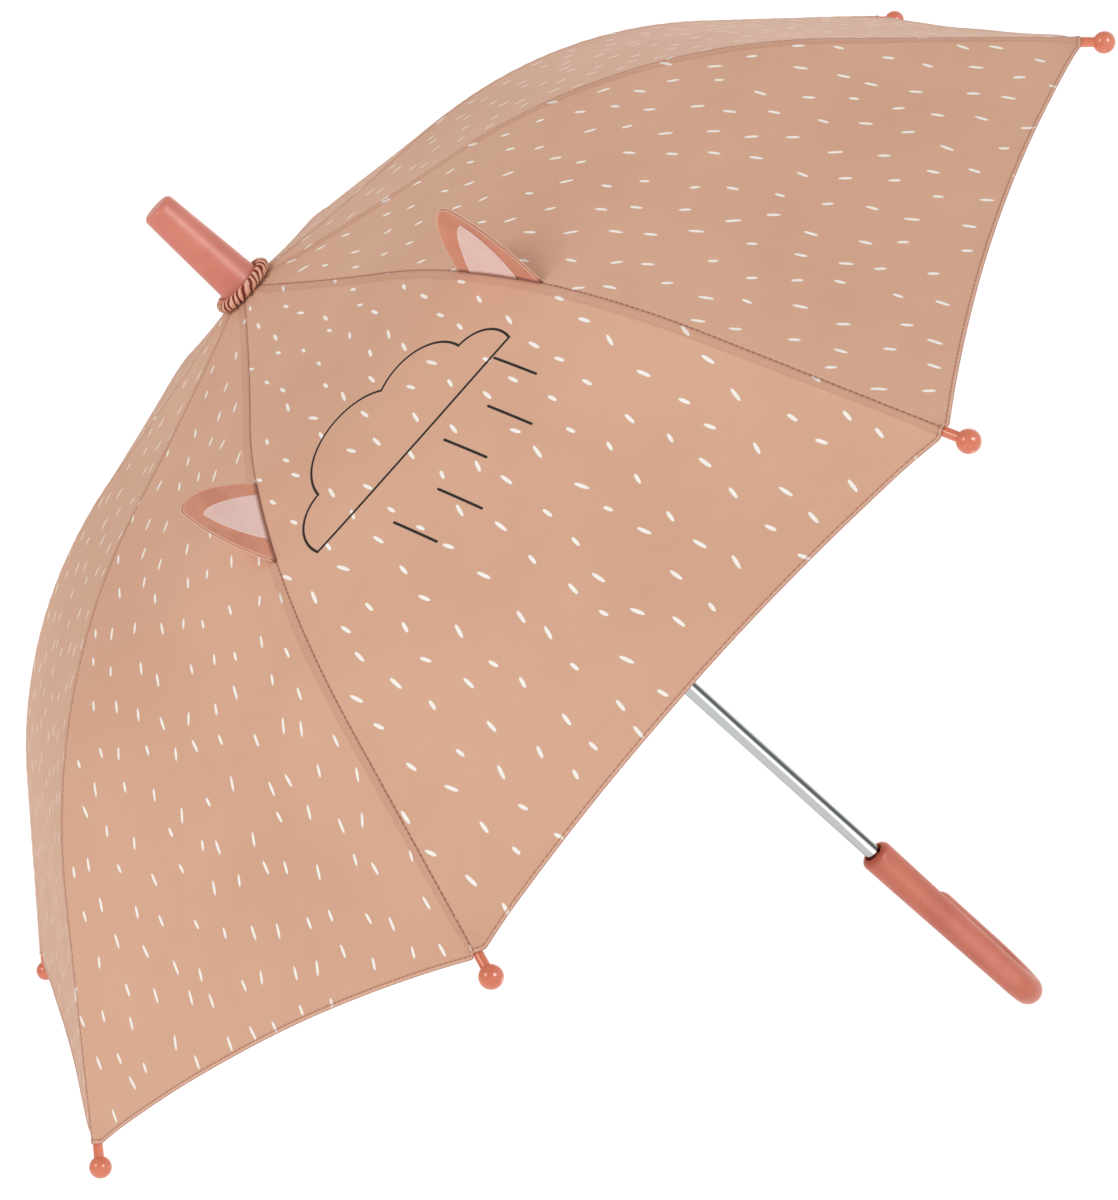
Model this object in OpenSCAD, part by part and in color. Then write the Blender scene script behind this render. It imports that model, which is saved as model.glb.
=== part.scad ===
// Children's stick umbrella: crook handle, steel shaft, eight bowed ribs and a sewn canopy.
// Drawn open and upright, in millimetres. The shaft is the Z axis and the hand grip is at the origin.

/* [Shaft and handle] */
// Outside diameter of the steel tube
shaft_d = 8; // [7:0.5:9]
// Wall of the steel tube
shaft_wall = 0.6; // [0.5:0.1:0.8]
// Height of the handle's top rim above the origin
handle_top = 45; // [40:1:55]
// Length of the straight hand grip
grip_len = 105; // [95:1:112]
// Diameter of the hand grip at its top
grip_d = 17; // [16:0.5:20]
// Diameter of the grip's low end, the bend and the free arm
hook_d = 15; // [13:0.5:16]
// Distance from the grip's axis to the free arm's axis
hook_span = 42; // [38:1:48]
// Length of the free arm above the bend
hook_arm = 36; // [25:1:45]
// Turn of the crook about the shaft, from straight behind
hook_turn = -4.5; // [-10:0.5:10]

/* [Folding frame] */
// Height of the rib pivots in the notch
notch_z = 469; // [465:1:475]
// Radius of the two tie wire rings
wire_ring_r = 8; // [7.5:0.5:8.5]
// Diameter of the tie wire
wire_d = 1.2; // [1:0.1:1.4]
// Slope of a rib where it leaves the notch
root_slope = 9.5; // [8:0.5:11]
// Slope of a rib at its tip
tip_slope = 44; // [41:0.5:46]
// Length of a rib's straight root
root_len = 109.5; // [105:0.5:115]
// Radius of a rib's bend
bend_r = 300; // [280:5:320]
// Length of a rib's straight end, to the middle of the ball
end_len = 118.5; // [112:0.5:123]
// Slope of the rib at the stretcher's rivet
rivet_slope = 24; // [20:0.5:28]
// Width and height of a rib's folded steel channel
rib_w = 3; // [2.6:0.1:3.2]
rib_h = 2.6; // [2.4:0.1:2.8]
// Diameter of the ball on a rib tip
ball_d = 10; // [8:0.5:11]

/* [Canopy] */
// Thickness of a canopy panel with its hems
cloth_t = 0.5; // [0.4:0.1:0.6]
// Height of the cloth's middle above a rib's middle line
cloth_lift = 2.8; // [2.6:0.1:3.2]
// How far the hem is cut back between two ribs
hem_scallop = 6; // [2:1:14]
// How far the cloth dips between two ribs, as a share of the gap
cloth_dip = 0.004; // [0:0.002:0.03]

/* [Ears] */
// Width of an ear along its seam
ear_w = 49; // [40:1:56]
// Height of an ear
ear_h = 39; // [34:1:46]
// Thickness of an ear's two layers and lining
ear_t = 2; // [1.6:0.1:2.4]
// Lean of each ear away from the front panel
right_ear_lean = 0; // [-5:1:20]
left_ear_lean = 18; // [-5:1:20]

/* [Tip cap] */
// Length of the cap above the washer
cap_len = 54; // [45:1:60]
// Diameter of the cap at its base and at its end
cap_base_d = 21.2; // [19:0.2:22]
cap_end_d = 16.6; // [15:0.2:18]

/* [Hidden] */
$fn = 48;
rib_count = 8;
rib_step = 360 / rib_count;
first_rib = -90 + rib_step / 2;
fit_gap = 0.02;
run_gap = 0.3;
shaft_r = shaft_d / 2;
grip_r = grip_d / 2;
hook_r = hook_d / 2;
wire_r = wire_d / 2;
eye_r = 1.7;
eye_bore_r = wire_r + 0.1;
blade_t = 1.6;
blade_len = 14;
channel_wall = 0.5;
rivet_r = 0.9;
rivet_head_r = 1.4;
fork_t = 0.6;
fork_in = rib_w / 2 + run_gap;
tip_pin_r = 0.9;
neck_len = 17;
notch_pin_r = 0.8;
notch_pin_up = 2.6;
stop_pin_r = 0.9;
stop_pin_up = 1.3;

// A rib's middle line lies in a plane through the shaft: straight root, bend and straight end
bend_len = bend_r * (tip_slope - root_slope) * PI / 180;
rib_len = root_len + bend_len + end_len;
bend_start = [wire_ring_r + root_len * cos(root_slope), notch_z - root_len * sin(root_slope)];
bend_centre = bend_start - bend_r * [sin(root_slope), cos(root_slope)];
function on_bend(slope) = bend_centre + bend_r * [sin(slope), cos(slope)];
bend_end = on_bend(tip_slope);
ball_at = bend_end + end_len * [cos(tip_slope), -sin(tip_slope)];
function rib_slope(s) =
    s < root_len ? root_slope
    : s > root_len + bend_len ? tip_slope
    : root_slope + (s - root_len) / bend_r * 180 / PI;
function rib_point(s) =
    s < root_len ? [wire_ring_r + s * cos(root_slope), notch_z - s * sin(root_slope)]
    : s > root_len + bend_len
        ? bend_end + (s - root_len - bend_len) * [cos(tip_slope), -sin(tip_slope)]
    : on_bend(rib_slope(s));

// The stretcher is as long as the line from the notch pivot to its rivet,
// so the runner stays straight below the notch and slides exactly along the shaft
rivet_at = on_bend(rivet_slope);
rivet_reach = rivet_at - [wire_ring_r, notch_z];
link_len = norm(rivet_reach);
runner_z = notch_z + 2 * rivet_reach[1];
stretch_rise = atan2(-rivet_reach[1], rivet_reach[0]);
fold_angle = 61;
link_angle_shut = atan2(rivet_reach[0], -rivet_reach[1]) - fold_angle;
runner_z_shut = notch_z - 2 * link_len * cos(link_angle_shut);

// Notch and runner crowns
crown_r = 11;
crown_slot_w = blade_t + 0.4;
crown_slot_floor = 5.8;
crown_plate = 2.2;
crown_cap = 4.8;
crown_chamfer = 1.5;
crown_tail = 4.5;
runner_r = 6.2;
runner_bore_r = shaft_r + run_gap;
runner_len = 34;
runner_flange_r = 9.5;
runner_flange_t = 3;
window_w = 2.6;
window_len = 18;
window_low = 27;

stop_z = runner_z + crown_tail + stop_pin_up;

// Spring catches inside the tube, on the side away from the front panel
catch_t = 1.2;
catch_out = 2;
catch_ramp = 13;
catch_top = 2;
slot_past_ramp = 2;
slot_past_fin = 0.8;
leaf_r = 2.4;
leaf_t = 0.6;
leaf_len = 34;
open_catch_z = runner_z - runner_len - run_gap;
closed_catch_z = runner_z_shut - window_low + run_gap;

// Cloth along a rib: it lies on the rib and rises a little to pass over the notch
cloth_in = -3;
cloth_out = rib_len - 12;
cloth_rise = 3;
cloth_rise_len = 100;
function cloth_off(s) = cloth_lift + cloth_rise * pow(max(0, 1 - max(s, 0) / cloth_rise_len), 2);
function cloth_point(s, side) =
    rib_point(s) + (cloth_off(s) + side * cloth_t / 2) * [sin(rib_slope(s)), cos(rib_slope(s))];
seam_gap = 0.4;
right_ear_s = root_len + 75.5;
left_ear_s = root_len + 67.5;
ear_sweep = 5;
panel_rows = 14;
panel_cols = 6;

// Top of the shaft: washer on the cloth, gathered ring, cap
washer_z = notch_z + 6.8;
washer_t = 1;
washer_r = 10;
cap_z = washer_z + washer_t;
ring_r = 13.5;
ring_up = 8;
ring_tube_r = 2.3;
ring_fold = 0.4;
ring_twist = -2;
ring_folds = 24;
ring_steps = 4;
ring_sides = 8;
shaft_low = handle_top - 70;
shaft_high = cap_z + cap_len - 12;

rib_names = [for (i = [1:rib_count]) str("rib_", i)];
tip_names = [for (i = [1:rib_count]) str("rib_tip_", i)];
rivet_names = [for (i = [1:rib_count]) str("rivet_", i)];
stretcher_names = [for (i = [1:rib_count]) str("stretcher_", i)];
panel_names = [for (i = [1:rib_count]) str("canopy_panel_", i)];

steel = [0.78, 0.79, 0.80];
wire_grey = [0.62, 0.63, 0.65];
black_plastic = [0.16, 0.16, 0.17];
salmon = [0.85, 0.53, 0.46];
terracotta = [0.77, 0.43, 0.36];
peach = [0.84, 0.66, 0.55];
deep_peach = [0.78, 0.52, 0.42];

function azimuth(i) = first_rib - (i - 1) * rib_step;

// Draws its children in the plane of rib i: X outwards, Z up
module at_rib(i) { rotate([0, 0, azimuth(i)]) children(); }

// Draws its children at a point of that plane with X along the given downward slope
module along(at, slope) { translate([at[0], 0, at[1]]) rotate([0, slope, 0]) children(); }

// A bar of folded steel channel along X; the web is on the upper side when up is 1
module channel(len, w, h, up) {
    difference() {
        translate([0, -w / 2, -h / 2]) cube([len, w, h]);
        translate([-1, channel_wall - w / 2, -h / 2 - up * channel_wall])
            cube([len + 2, w - 2 * channel_wall, h]);
    }
}

// The flattened end of a rib or stretcher, with the eye that the tie wire goes through
module blade_eye(len, h) {
    difference() {
        union() {
            translate([0, -blade_t / 2, -h / 2]) cube([len, blade_t, h]);
            rotate([90, 0, 0]) cylinder(r = eye_r, h = blade_t, center = true);
        }
        rotate([90, 0, 0]) cylinder(r = eye_bore_r, h = blade_t + 2, center = true);
    }
}

module across_y(r, len) { rotate([90, 0, 0]) cylinder(r = r, h = len, center = true); }

// A crown with a slot for each blade and a groove for the tie wire; way is -1 for slots open below
module crown(way, bore_r) {
    difference() {
        mirror([0, 0, way > 0 ? 1 : 0]) {
            translate([0, 0, -crown_tail])
                cylinder(r = crown_r, h = crown_tail + crown_cap - crown_chamfer);
            translate([0, 0, crown_cap - crown_chamfer])
                cylinder(r1 = crown_r, r2 = crown_r - crown_chamfer, h = crown_chamfer);
        }
        cylinder(r = bore_r, h = 40, center = true);
        for (i = [1:rib_count])
            at_rib(i) mirror([0, 0, way > 0 ? 1 : 0])
                translate([crown_slot_floor, -crown_slot_w / 2, -crown_tail - 1])
                    cube([crown_r, crown_slot_w, crown_tail + 1 + crown_plate]);
        rotate_extrude()
            translate([wire_ring_r - wire_r - fit_gap, -wire_r - fit_gap])
                square([crown_r, wire_d + 2 * fit_gap]);
    }
}

module tie_wire() { rotate_extrude() translate([wire_ring_r, 0]) circle(r = wire_r); }

module shaft_tube() {
    color(steel) difference() {
        translate([0, 0, shaft_low]) cylinder(r = shaft_r, h = shaft_high - shaft_low);
        translate([0, 0, shaft_low - 1])
            cylinder(r = shaft_r - shaft_wall, h = shaft_high - shaft_low + 2);
        for (slot_low = [open_catch_z - catch_ramp - slot_past_ramp, closed_catch_z - slot_past_fin])
            translate([-catch_t / 2 - run_gap, shaft_r / 2, slot_low])
                cube([catch_t + 2 * run_gap, shaft_r, catch_ramp + slot_past_ramp + slot_past_fin]);
        translate([0, 0, notch_z + notch_pin_up]) across_y(notch_pin_r + fit_gap, shaft_d + 2);
        translate([0, 0, stop_z]) across_y(stop_pin_r + fit_gap, shaft_d + 2);
    }
}

// Tapered grip with a rounded, recessed top rim, a half circle bend and a rounded free arm
module handle() {
    rim_round = 3;
    recess_r = 5.4;
    recess_depth = 2.5;
    bend_z = handle_top - grip_len;
    color(terracotta) rotate([0, 0, hook_turn]) difference() {
        union() {
            translate([0, 0, bend_z]) rotate_extrude() {
                polygon([[0, 0], [hook_r, 0], [grip_r, grip_len - rim_round], [0, grip_len - rim_round]]);
                translate([0, grip_len - rim_round - 1]) square([grip_r - rim_round, rim_round + 1]);
                translate([grip_r - rim_round, grip_len - rim_round]) circle(r = rim_round);
            }
            translate([0, hook_span / 2, bend_z]) rotate([0, 90, 0]) rotate([0, 0, -90])
                rotate_extrude(angle = 180) translate([hook_span / 2, 0]) circle(r = hook_r);
            translate([0, hook_span, bend_z]) cylinder(r = hook_r, h = hook_arm);
            translate([0, hook_span, bend_z + hook_arm]) sphere(r = hook_r);
        }
        translate([0, 0, shaft_low]) cylinder(r = shaft_r + fit_gap, h = grip_len);
        translate([0, 0, handle_top - recess_depth]) cylinder(r = recess_r, h = recess_depth + 1);
    }
}

// Tapered cap with a rounded flat end, moulded hollow round a socket for the tube
module tip_cap() {
    end_round = 2.5;
    wall = 2;
    socket_r = shaft_r + 1.6;
    socket_top = cap_len - 11;
    hollow_top = cap_len - 14;
    base_r = cap_base_d / 2;
    end_r = cap_end_d / 2;
    color(salmon) translate([0, 0, cap_z]) rotate_extrude() difference() {
        union() {
            polygon([[0, 0], [base_r, 0], [end_r, cap_len - end_round], [0, cap_len - end_round]]);
            translate([0, cap_len - end_round - 1]) square([end_r - end_round, end_round + 1]);
            translate([end_r - end_round, cap_len - end_round]) circle(r = end_round);
        }
        translate([0, -1]) square([shaft_r + fit_gap, socket_top + 1]);
        polygon([[socket_r, -1], [base_r - wall, -1],
                 [end_r - wall, hollow_top], [socket_r, hollow_top]]);
    }
}

// Gathered ring of cloth round the cap's foot, with slanting folds
module rosette() {
    turns = ring_folds * ring_steps;
    function fold_point(k, j) =
        let (a = 360 * k / turns, b = 360 * j / ring_sides)
        let (tube = ring_tube_r + ring_fold * cos(ring_folds * a + ring_twist * b))
        let (r = ring_r + tube * cos(b))
        [r * cos(a), r * sin(a), tube * sin(b)];
    color(peach) translate([0, 0, notch_z + ring_up]) polyhedron(
        points = [for (k = [0:turns - 1]) for (j = [0:ring_sides - 1]) fold_point(k, j)],
        faces = [for (k = [0:turns - 1]) for (j = [0:ring_sides - 1])
            let (k2 = (k + 1) % turns, j2 = (j + 1) % ring_sides)
            let (p = k * ring_sides + j, q = k2 * ring_sides + j)
            let (p2 = k * ring_sides + j2, q2 = k2 * ring_sides + j2)
            each [[p, p2, q2], [p, q2, q]]]);
}

module top_washer() {
    color(black_plastic) translate([0, 0, washer_z]) difference() {
        cylinder(r = washer_r, h = washer_t);
        translate([0, 0, -1]) cylinder(r = shaft_r + fit_gap, h = washer_t + 2);
    }
}

module notch() {
    color(black_plastic) translate([0, 0, notch_z]) difference() {
        crown(-1, shaft_r + fit_gap);
        translate([0, 0, notch_pin_up]) across_y(notch_pin_r + fit_gap, 3 * crown_r);
    }
}

module notch_wire() { color(wire_grey) translate([0, 0, notch_z]) tie_wire(); }

module notch_pin() {
    color(wire_grey) translate([0, 0, notch_z + notch_pin_up]) across_y(notch_pin_r, 2 * crown_r - run_gap);
}

// Rivet through the tube that keeps the runner from being pushed too far up
module runner_stop() {
    head_out = 1.5;
    color(wire_grey) translate([0, 0, stop_z]) across_y(stop_pin_r, shaft_d + 2 * head_out);
}

// Spring leaf in the tube with a fin that stands out through a slot and a tail on the tube's wall;
// way is -1 where the ramp is below
module spring_catch(way) {
    tail_len = 4;
    tail_r = shaft_r - shaft_wall - 0.1;
    fin = [[leaf_r, 0], [shaft_r + catch_out, 0], [shaft_r + catch_out, catch_top * way],
           [shaft_r, catch_ramp * way], [leaf_r, catch_ramp * way]];
    leaf = [[leaf_r, 0], [leaf_r + leaf_t, 0], [leaf_r + leaf_t, (leaf_len - 2 * tail_len) * way],
            [tail_r, (leaf_len - tail_len) * way], [tail_r, leaf_len * way],
            [tail_r - leaf_t, leaf_len * way], [tail_r - leaf_t, (leaf_len - tail_len) * way],
            [leaf_r, (leaf_len - 2 * tail_len) * way]];
    for (outline = [fin, leaf])
        rotate([90, 0, 90]) linear_extrude(catch_t, center = true) polygon(outline);
}

module open_catch() { color(wire_grey) translate([0, 0, open_catch_z]) spring_catch(-1); }

module closed_catch() { color(wire_grey) translate([0, 0, closed_catch_z]) spring_catch(1); }

// Sliding sleeve: crown for the stretchers, finger flange, and a window for the lower catch
module runner() {
    color(black_plastic) translate([0, 0, runner_z]) difference() {
        union() {
            crown(1, runner_bore_r);
            translate([0, 0, -runner_len]) cylinder(r = runner_r, h = runner_len - crown_cap + 0.5);
            translate([0, 0, -runner_len]) cylinder(r = runner_flange_r, h = runner_flange_t);
            translate([0, 0, runner_flange_t - runner_len])
                cylinder(r1 = runner_flange_r, r2 = runner_r, h = runner_flange_t);
        }
        translate([0, 0, -runner_len - 1]) cylinder(r = runner_bore_r, h = runner_len + 20);
        translate([-window_w / 2, 0, -window_low]) cube([window_w, crown_r, window_len]);
    }
}

module runner_wire() { color(wire_grey) translate([0, 0, runner_z]) tie_wire(); }

// Steel channel: flattened eye, straight root, bend, straight end, crimped and drawn to a pin for the tip
module rib(i) {
    end_bar = end_len - neck_len - 1;
    blade_h = rib_h - 0.1;
    blade_lap = 3;
    inset = 0.02;
    lap = 0.1;
    crimp_len = 6;
    crimp_inset = 0.1;
    pin_len = neck_len - 3;
    color(steel) at_rib(i) difference() {
        union() {
            along([wire_ring_r, notch_z], root_slope) {
                blade_eye(blade_len, blade_h);
                translate([blade_len - blade_lap, 0, 0])
                    channel(root_len - blade_len + blade_lap, rib_w, rib_h, 1);
            }
            translate([bend_centre[0], 0, bend_centre[1]])
                rotate([90, 0, 0]) rotate([0, 0, 90 - tip_slope - lap]) rotate_extrude(
                    angle = tip_slope - root_slope + 2 * lap, $fn = 96)
                    translate([bend_r, 0]) difference() {
                        square([rib_h - 2 * inset, rib_w - 2 * inset], center = true);
                        translate([inset - channel_wall, 0])
                            square([rib_h, rib_w - 2 * channel_wall + 2 * inset], center = true);
                    }
            along(bend_end, tip_slope) {
                channel(end_bar, rib_w, rib_h, 1);
                translate([end_bar - crimp_len, crimp_inset - rib_w / 2, crimp_inset - rib_h / 2])
                    cube([crimp_len + 1, rib_w - 2 * crimp_inset, rib_h - 2 * crimp_inset]);
                translate([end_bar, 0, 0]) rotate([0, 90, 0]) cylinder(r = tip_pin_r, h = pin_len);
            }
        }
        translate([rivet_at[0], 0, rivet_at[1]]) across_y(rivet_r + fit_gap, 2 * rib_w);
    }
}

// Moulded ball on a ridged neck, pushed onto the rib's end
module rib_tip(i) {
    neck_r = 2.1;
    ridge_w = 0.7;
    ridge_up = 0.2;
    ridge_turn = 28;
    ridge_in = 1;
    color(salmon) at_rib(i) along(ball_at, tip_slope) difference() {
        union() {
            sphere(r = ball_d / 2);
            translate([-neck_len, 0, 0]) rotate([0, 90, 0]) cylinder(r = neck_r, h = neck_len);
            for (side = [-1, 1])
                rotate([side * ridge_turn, 0, 0]) translate([ridge_in - neck_len, -ridge_w / 2, neck_r / 2])
                    cube([neck_len - 2 * ridge_in, ridge_w, neck_r / 2 + ridge_up]);
        }
        translate([-neck_len - 1, 0, 0]) rotate([0, 90, 0])
            cylinder(r = tip_pin_r + fit_gap, h = neck_len - 1);
    }
}

module rivet(i) {
    head_t = 0.5;
    head_in = fork_in + fork_t + 0.15;
    color(wire_grey) at_rib(i) translate([rivet_at[0], 0, rivet_at[1]]) {
        across_y(rivet_r, 2 * head_in);
        for (side = [-1, 1])
            translate([0, side * (head_in + head_t / 2), 0]) across_y(rivet_head_r, head_t);
    }
}

// Channel with a fork that straddles the rib at one end and an eye on the runner's wire at the other
module stretcher(i) {
    w = rib_w + 0.7;
    h = 2.4;
    blade_h = h - 0.1;
    blade_lap = 3;
    fork_len = 18;
    fork_free = 11;
    fork_eye_r = 1.6;
    eye_gap = 0.05;
    color(steel) at_rib(i) along([wire_ring_r, runner_z], -stretch_rise) {
        blade_eye(blade_len, blade_h);
        translate([blade_len - blade_lap, 0, 0])
            channel(link_len - fork_free - blade_len + blade_lap, w, h, -1);
        difference() {
            for (side = [-1, 1]) translate([0, side * (fork_in + fork_t / 2), 0]) {
                translate([link_len - fork_len, -fork_t / 2, -blade_h / 2])
                    cube([fork_len, fork_t, blade_h]);
                translate([link_len, 0, 0]) across_y(fork_eye_r, fork_t);
            }
            translate([link_len, 0, 0]) across_y(rivet_r + eye_gap, 4 * rib_w);
        }
    }
}

// One gore of cloth between rib i and the next, as a thin closed shell with a scalloped hem
module canopy_panel(i) {
    left = azimuth(i);
    right = azimuth(i) - rib_step;
    cols = panel_cols + 1;
    sheet = (panel_rows + 1) * cols;
    function bow(v) = 4 * v * (1 - v);
    function reach(u, v) = cloth_in + u * (cloth_out - hem_scallop * bow(v) - cloth_in);
    function sheet_point(u, v, side) =
        let (s = reach(u, v), p = cloth_point(s, side), slope = rib_slope(s))
        let (gap = 2 * p[0] * sin(rib_step / 2), w = (seam_gap + v * (gap - 2 * seam_gap)) / gap)
        let (x = p[0] * ((1 - w) * cos(left) + w * cos(right)))
        let (y = p[0] * ((1 - w) * sin(left) + w * sin(right)))
        let (dip = cloth_dip * gap * bow(v), mid = (left + right) / 2)
        [x - dip * sin(slope) * cos(mid), y - dip * sin(slope) * sin(mid), p[1] - dip * cos(slope)];
    function at(side, row, col) = side * sheet + row * cols + col;
    color(peach) polyhedron(
        points = [for (side = [1, -1]) for (row = [0:panel_rows]) for (col = [0:panel_cols])
            sheet_point(row / panel_rows, col / panel_cols, side)],
        faces = concat(
            [for (row = [0:panel_rows - 1]) for (col = [0:panel_cols - 1]) each [
                [at(0, row, col), at(0, row, col + 1), at(0, row + 1, col + 1)],
                [at(0, row, col), at(0, row + 1, col + 1), at(0, row + 1, col)],
                [at(1, row, col), at(1, row + 1, col + 1), at(1, row, col + 1)],
                [at(1, row, col), at(1, row + 1, col), at(1, row + 1, col + 1)]]],
            [for (row = [0:panel_rows - 1]) each [
                [at(0, row, 0), at(0, row + 1, 0), at(1, row + 1, 0)],
                [at(0, row, 0), at(1, row + 1, 0), at(1, row, 0)],
                [at(0, row, panel_cols), at(1, row + 1, panel_cols), at(0, row + 1, panel_cols)],
                [at(0, row, panel_cols), at(1, row, panel_cols), at(1, row + 1, panel_cols)]]],
            [for (col = [0:panel_cols - 1]) each [
                [at(0, 0, col), at(1, 0, col + 1), at(0, 0, col + 1)],
                [at(0, 0, col), at(1, 0, col), at(1, 0, col + 1)],
                [at(0, panel_rows, col), at(0, panel_rows, col + 1), at(1, panel_rows, col + 1)],
                [at(0, panel_rows, col), at(1, panel_rows, col + 1), at(1, panel_rows, col)]]]));
}

// Ear sewn into the seam over a rib: seat_s is its place along the rib, lean its tilt about the seam,
// sweep how far its point lies towards the rib's tip
module ear(i, seat_s, lean, sweep) {
    seat = rib_point(seat_s);
    steps = 12;
    foot = cloth_lift + cloth_t / 2 + 0.5;
    tab_w = 32;
    tab_t = 0.4;
    tab_sink = 0.3;
    crown_curve = 0.6;
    tip_curve = 0.8;
    belly = 0.25;
    // One side of the ear, from the foot up to the point: fuller towards the crown
    function half_w(h, side) =
        ear_w / 2 * pow(1 - h, side < 0 ? crown_curve : tip_curve) * (1 + belly * h);
    function edge(k, side) =
        let (h = 1 - pow(1 - k / steps, 2)) [side * half_w(h, side) + sweep * h, foot + ear_h * h];
    color(deep_peach) at_rib(i) along(seat, rib_slope(seat_s)) {
        translate([0, 0, foot]) rotate([lean, 0, 0]) translate([0, 0, -foot])
            rotate([90, 0, 0]) linear_extrude(ear_t, center = true)
                polygon(concat([for (k = [0:steps]) edge(k, 1)], [for (k = [steps - 1:-1:0]) edge(k, -1)]));
        translate([-tab_w / 2, -tab_t / 2, rib_h / 2 - tab_sink]) cube([tab_w, tab_t, foot + 1]);
    }
}

module ear_right() { ear(1, right_ear_s, -right_ear_lean, -ear_sweep); }

module ear_left() { ear(2, left_ear_s, left_ear_lean, ear_sweep); }

shaft_tube();
handle();
tip_cap();
rosette();
top_washer();
notch();
notch_wire();
notch_pin();
runner_stop();
open_catch();
closed_catch();
runner();
runner_wire();
ear_right();
ear_left();
for (i = [1:rib_count]) {
    rib(i);
    rib_tip(i);
    rivet(i);
    stretcher(i);
    canopy_panel(i);
}
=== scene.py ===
# %% [markdown]
# # A children's umbrella, dressed
# The solids of the umbrella come in as a fixed frame: every steel and plastic part is already in its
# place and only needs a finish. What is sewn from cloth is modelled here, over the same lines that the
# frame was drawn from, and the ring and the ears ride on the bodies that carry them.

# %% Load the frame
import math
from typing import NamedTuple
import bmesh
import bpy
from mathutils import Matrix, Vector, noise


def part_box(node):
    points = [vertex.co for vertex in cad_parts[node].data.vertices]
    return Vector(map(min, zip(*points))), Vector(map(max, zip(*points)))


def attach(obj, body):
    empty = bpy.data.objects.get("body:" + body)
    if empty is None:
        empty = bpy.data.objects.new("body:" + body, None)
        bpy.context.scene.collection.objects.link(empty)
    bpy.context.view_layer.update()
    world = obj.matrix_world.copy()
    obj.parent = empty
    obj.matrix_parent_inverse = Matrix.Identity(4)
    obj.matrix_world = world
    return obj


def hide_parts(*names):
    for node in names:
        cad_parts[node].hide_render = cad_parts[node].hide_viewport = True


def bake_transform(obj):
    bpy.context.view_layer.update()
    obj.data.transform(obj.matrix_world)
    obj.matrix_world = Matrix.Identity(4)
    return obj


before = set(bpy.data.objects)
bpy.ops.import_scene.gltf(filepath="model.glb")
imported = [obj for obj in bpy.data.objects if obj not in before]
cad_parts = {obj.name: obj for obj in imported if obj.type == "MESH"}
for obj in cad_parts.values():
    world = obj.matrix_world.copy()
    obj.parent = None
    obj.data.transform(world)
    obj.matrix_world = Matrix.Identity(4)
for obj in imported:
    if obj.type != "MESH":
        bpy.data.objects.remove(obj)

scene = bpy.context.scene
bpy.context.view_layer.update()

# %% [markdown]
# ## Camera
# The photograph looks at the front gore from a little above, with the shaft running down to the right.
# The umbrella stands upright in its own frame, so here the camera is the thing that is rolled. A long
# lens gives the photograph's weak perspective. The lens follows from the focal length in photograph
# pixels, because Blender's sensor width goes with the longer side of the picture.

# %% Camera
MM = 0.001
photo_height = 1200
focal_pixels = 3230
sensor_width = 36.0
camera_eye = Vector((-18.9, -1486.3, 751.2)) * MM
camera_aim = Vector((-10.9, -9.1, 262.4)) * MM
camera_roll = math.radians(-48.16)

camera_data = bpy.data.cameras.new("photo_camera")
camera_data.sensor_width = sensor_width
camera_data.lens = focal_pixels / photo_height * sensor_width
camera_data.clip_end = 200
camera = bpy.data.objects.new("photo_camera", camera_data)
scene.collection.objects.link(camera)
scene.camera = camera
camera_turn = (camera_aim - camera_eye).to_track_quat("-Z", "Y").to_matrix()
camera_turn = camera_turn @ Matrix.Rotation(camera_roll, 3, "Z")
camera.matrix_world = Matrix.Translation(camera_eye) @ camera_turn.to_4x4()
print("lens", round(camera_data.lens, 1), "mm")

# %% [markdown]
# ## Studio
# A white table top goes on to the horizon and a few large soft lamps hang round the camera. They are
# placed along the camera's own axes, so that the picture's upper left is the bright side. The strip lamp,
# and a small one that lies on the table in front of the handle, only make highlights on what shines. The
# table glows a little, as a lit backdrop does, which keeps the shadows faint, and the sky is white at the
# horizon, where it meets the table, and dimmer above.

# %% Studio
view_right, view_up, view_back = (camera_turn.col[k].copy() for k in range(3))
subject = Vector((0, 0, 0.38))
table_gap = 0.5 * MM
table_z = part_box("handle")[0].z - table_gap
grip_lamp_y = -0.18
grip_lamp_lift = 2 * MM
scene.view_settings.view_transform = "Standard"


def soft_lamp(name, right, up, back, width, height, power):
    """A lamp at a place along the camera's axes, turned to the umbrella; metres and watts."""
    data = bpy.data.lights.new(name, "AREA")
    data.shape = "RECTANGLE"
    data.size = width
    data.size_y = height
    data.energy = power
    lamp = bpy.data.objects.new(name, data)
    lamp.location = subject + right * view_right + up * view_up + back * view_back
    lamp.rotation_euler = (subject - lamp.location).to_track_quat("-Z", "Y").to_euler()
    scene.collection.objects.link(lamp)
    return lamp


soft_lamp("key_lamp", right=-2.0, up=0.8, back=1.8, width=1.2, height=1.2, power=27)
strip_lamp = soft_lamp("strip_lamp", right=1.22, up=0.57, back=1.75, width=0.85, height=0.9, power=27)
strip_lamp.visible_diffuse = False
soft_lamp("rear_lamp", right=0.4, up=1.6, back=-1.8, width=1.6, height=1.6, power=6)
grip_lamp = soft_lamp("grip_lamp", right=0, up=0, back=0, width=0.14, height=0.28, power=0.19)
grip_lamp.location = (0, grip_lamp_y, table_z + grip_lamp_lift)
grip_lamp.rotation_euler = (math.pi, 0, 0)
grip_lamp.visible_diffuse = False

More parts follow.
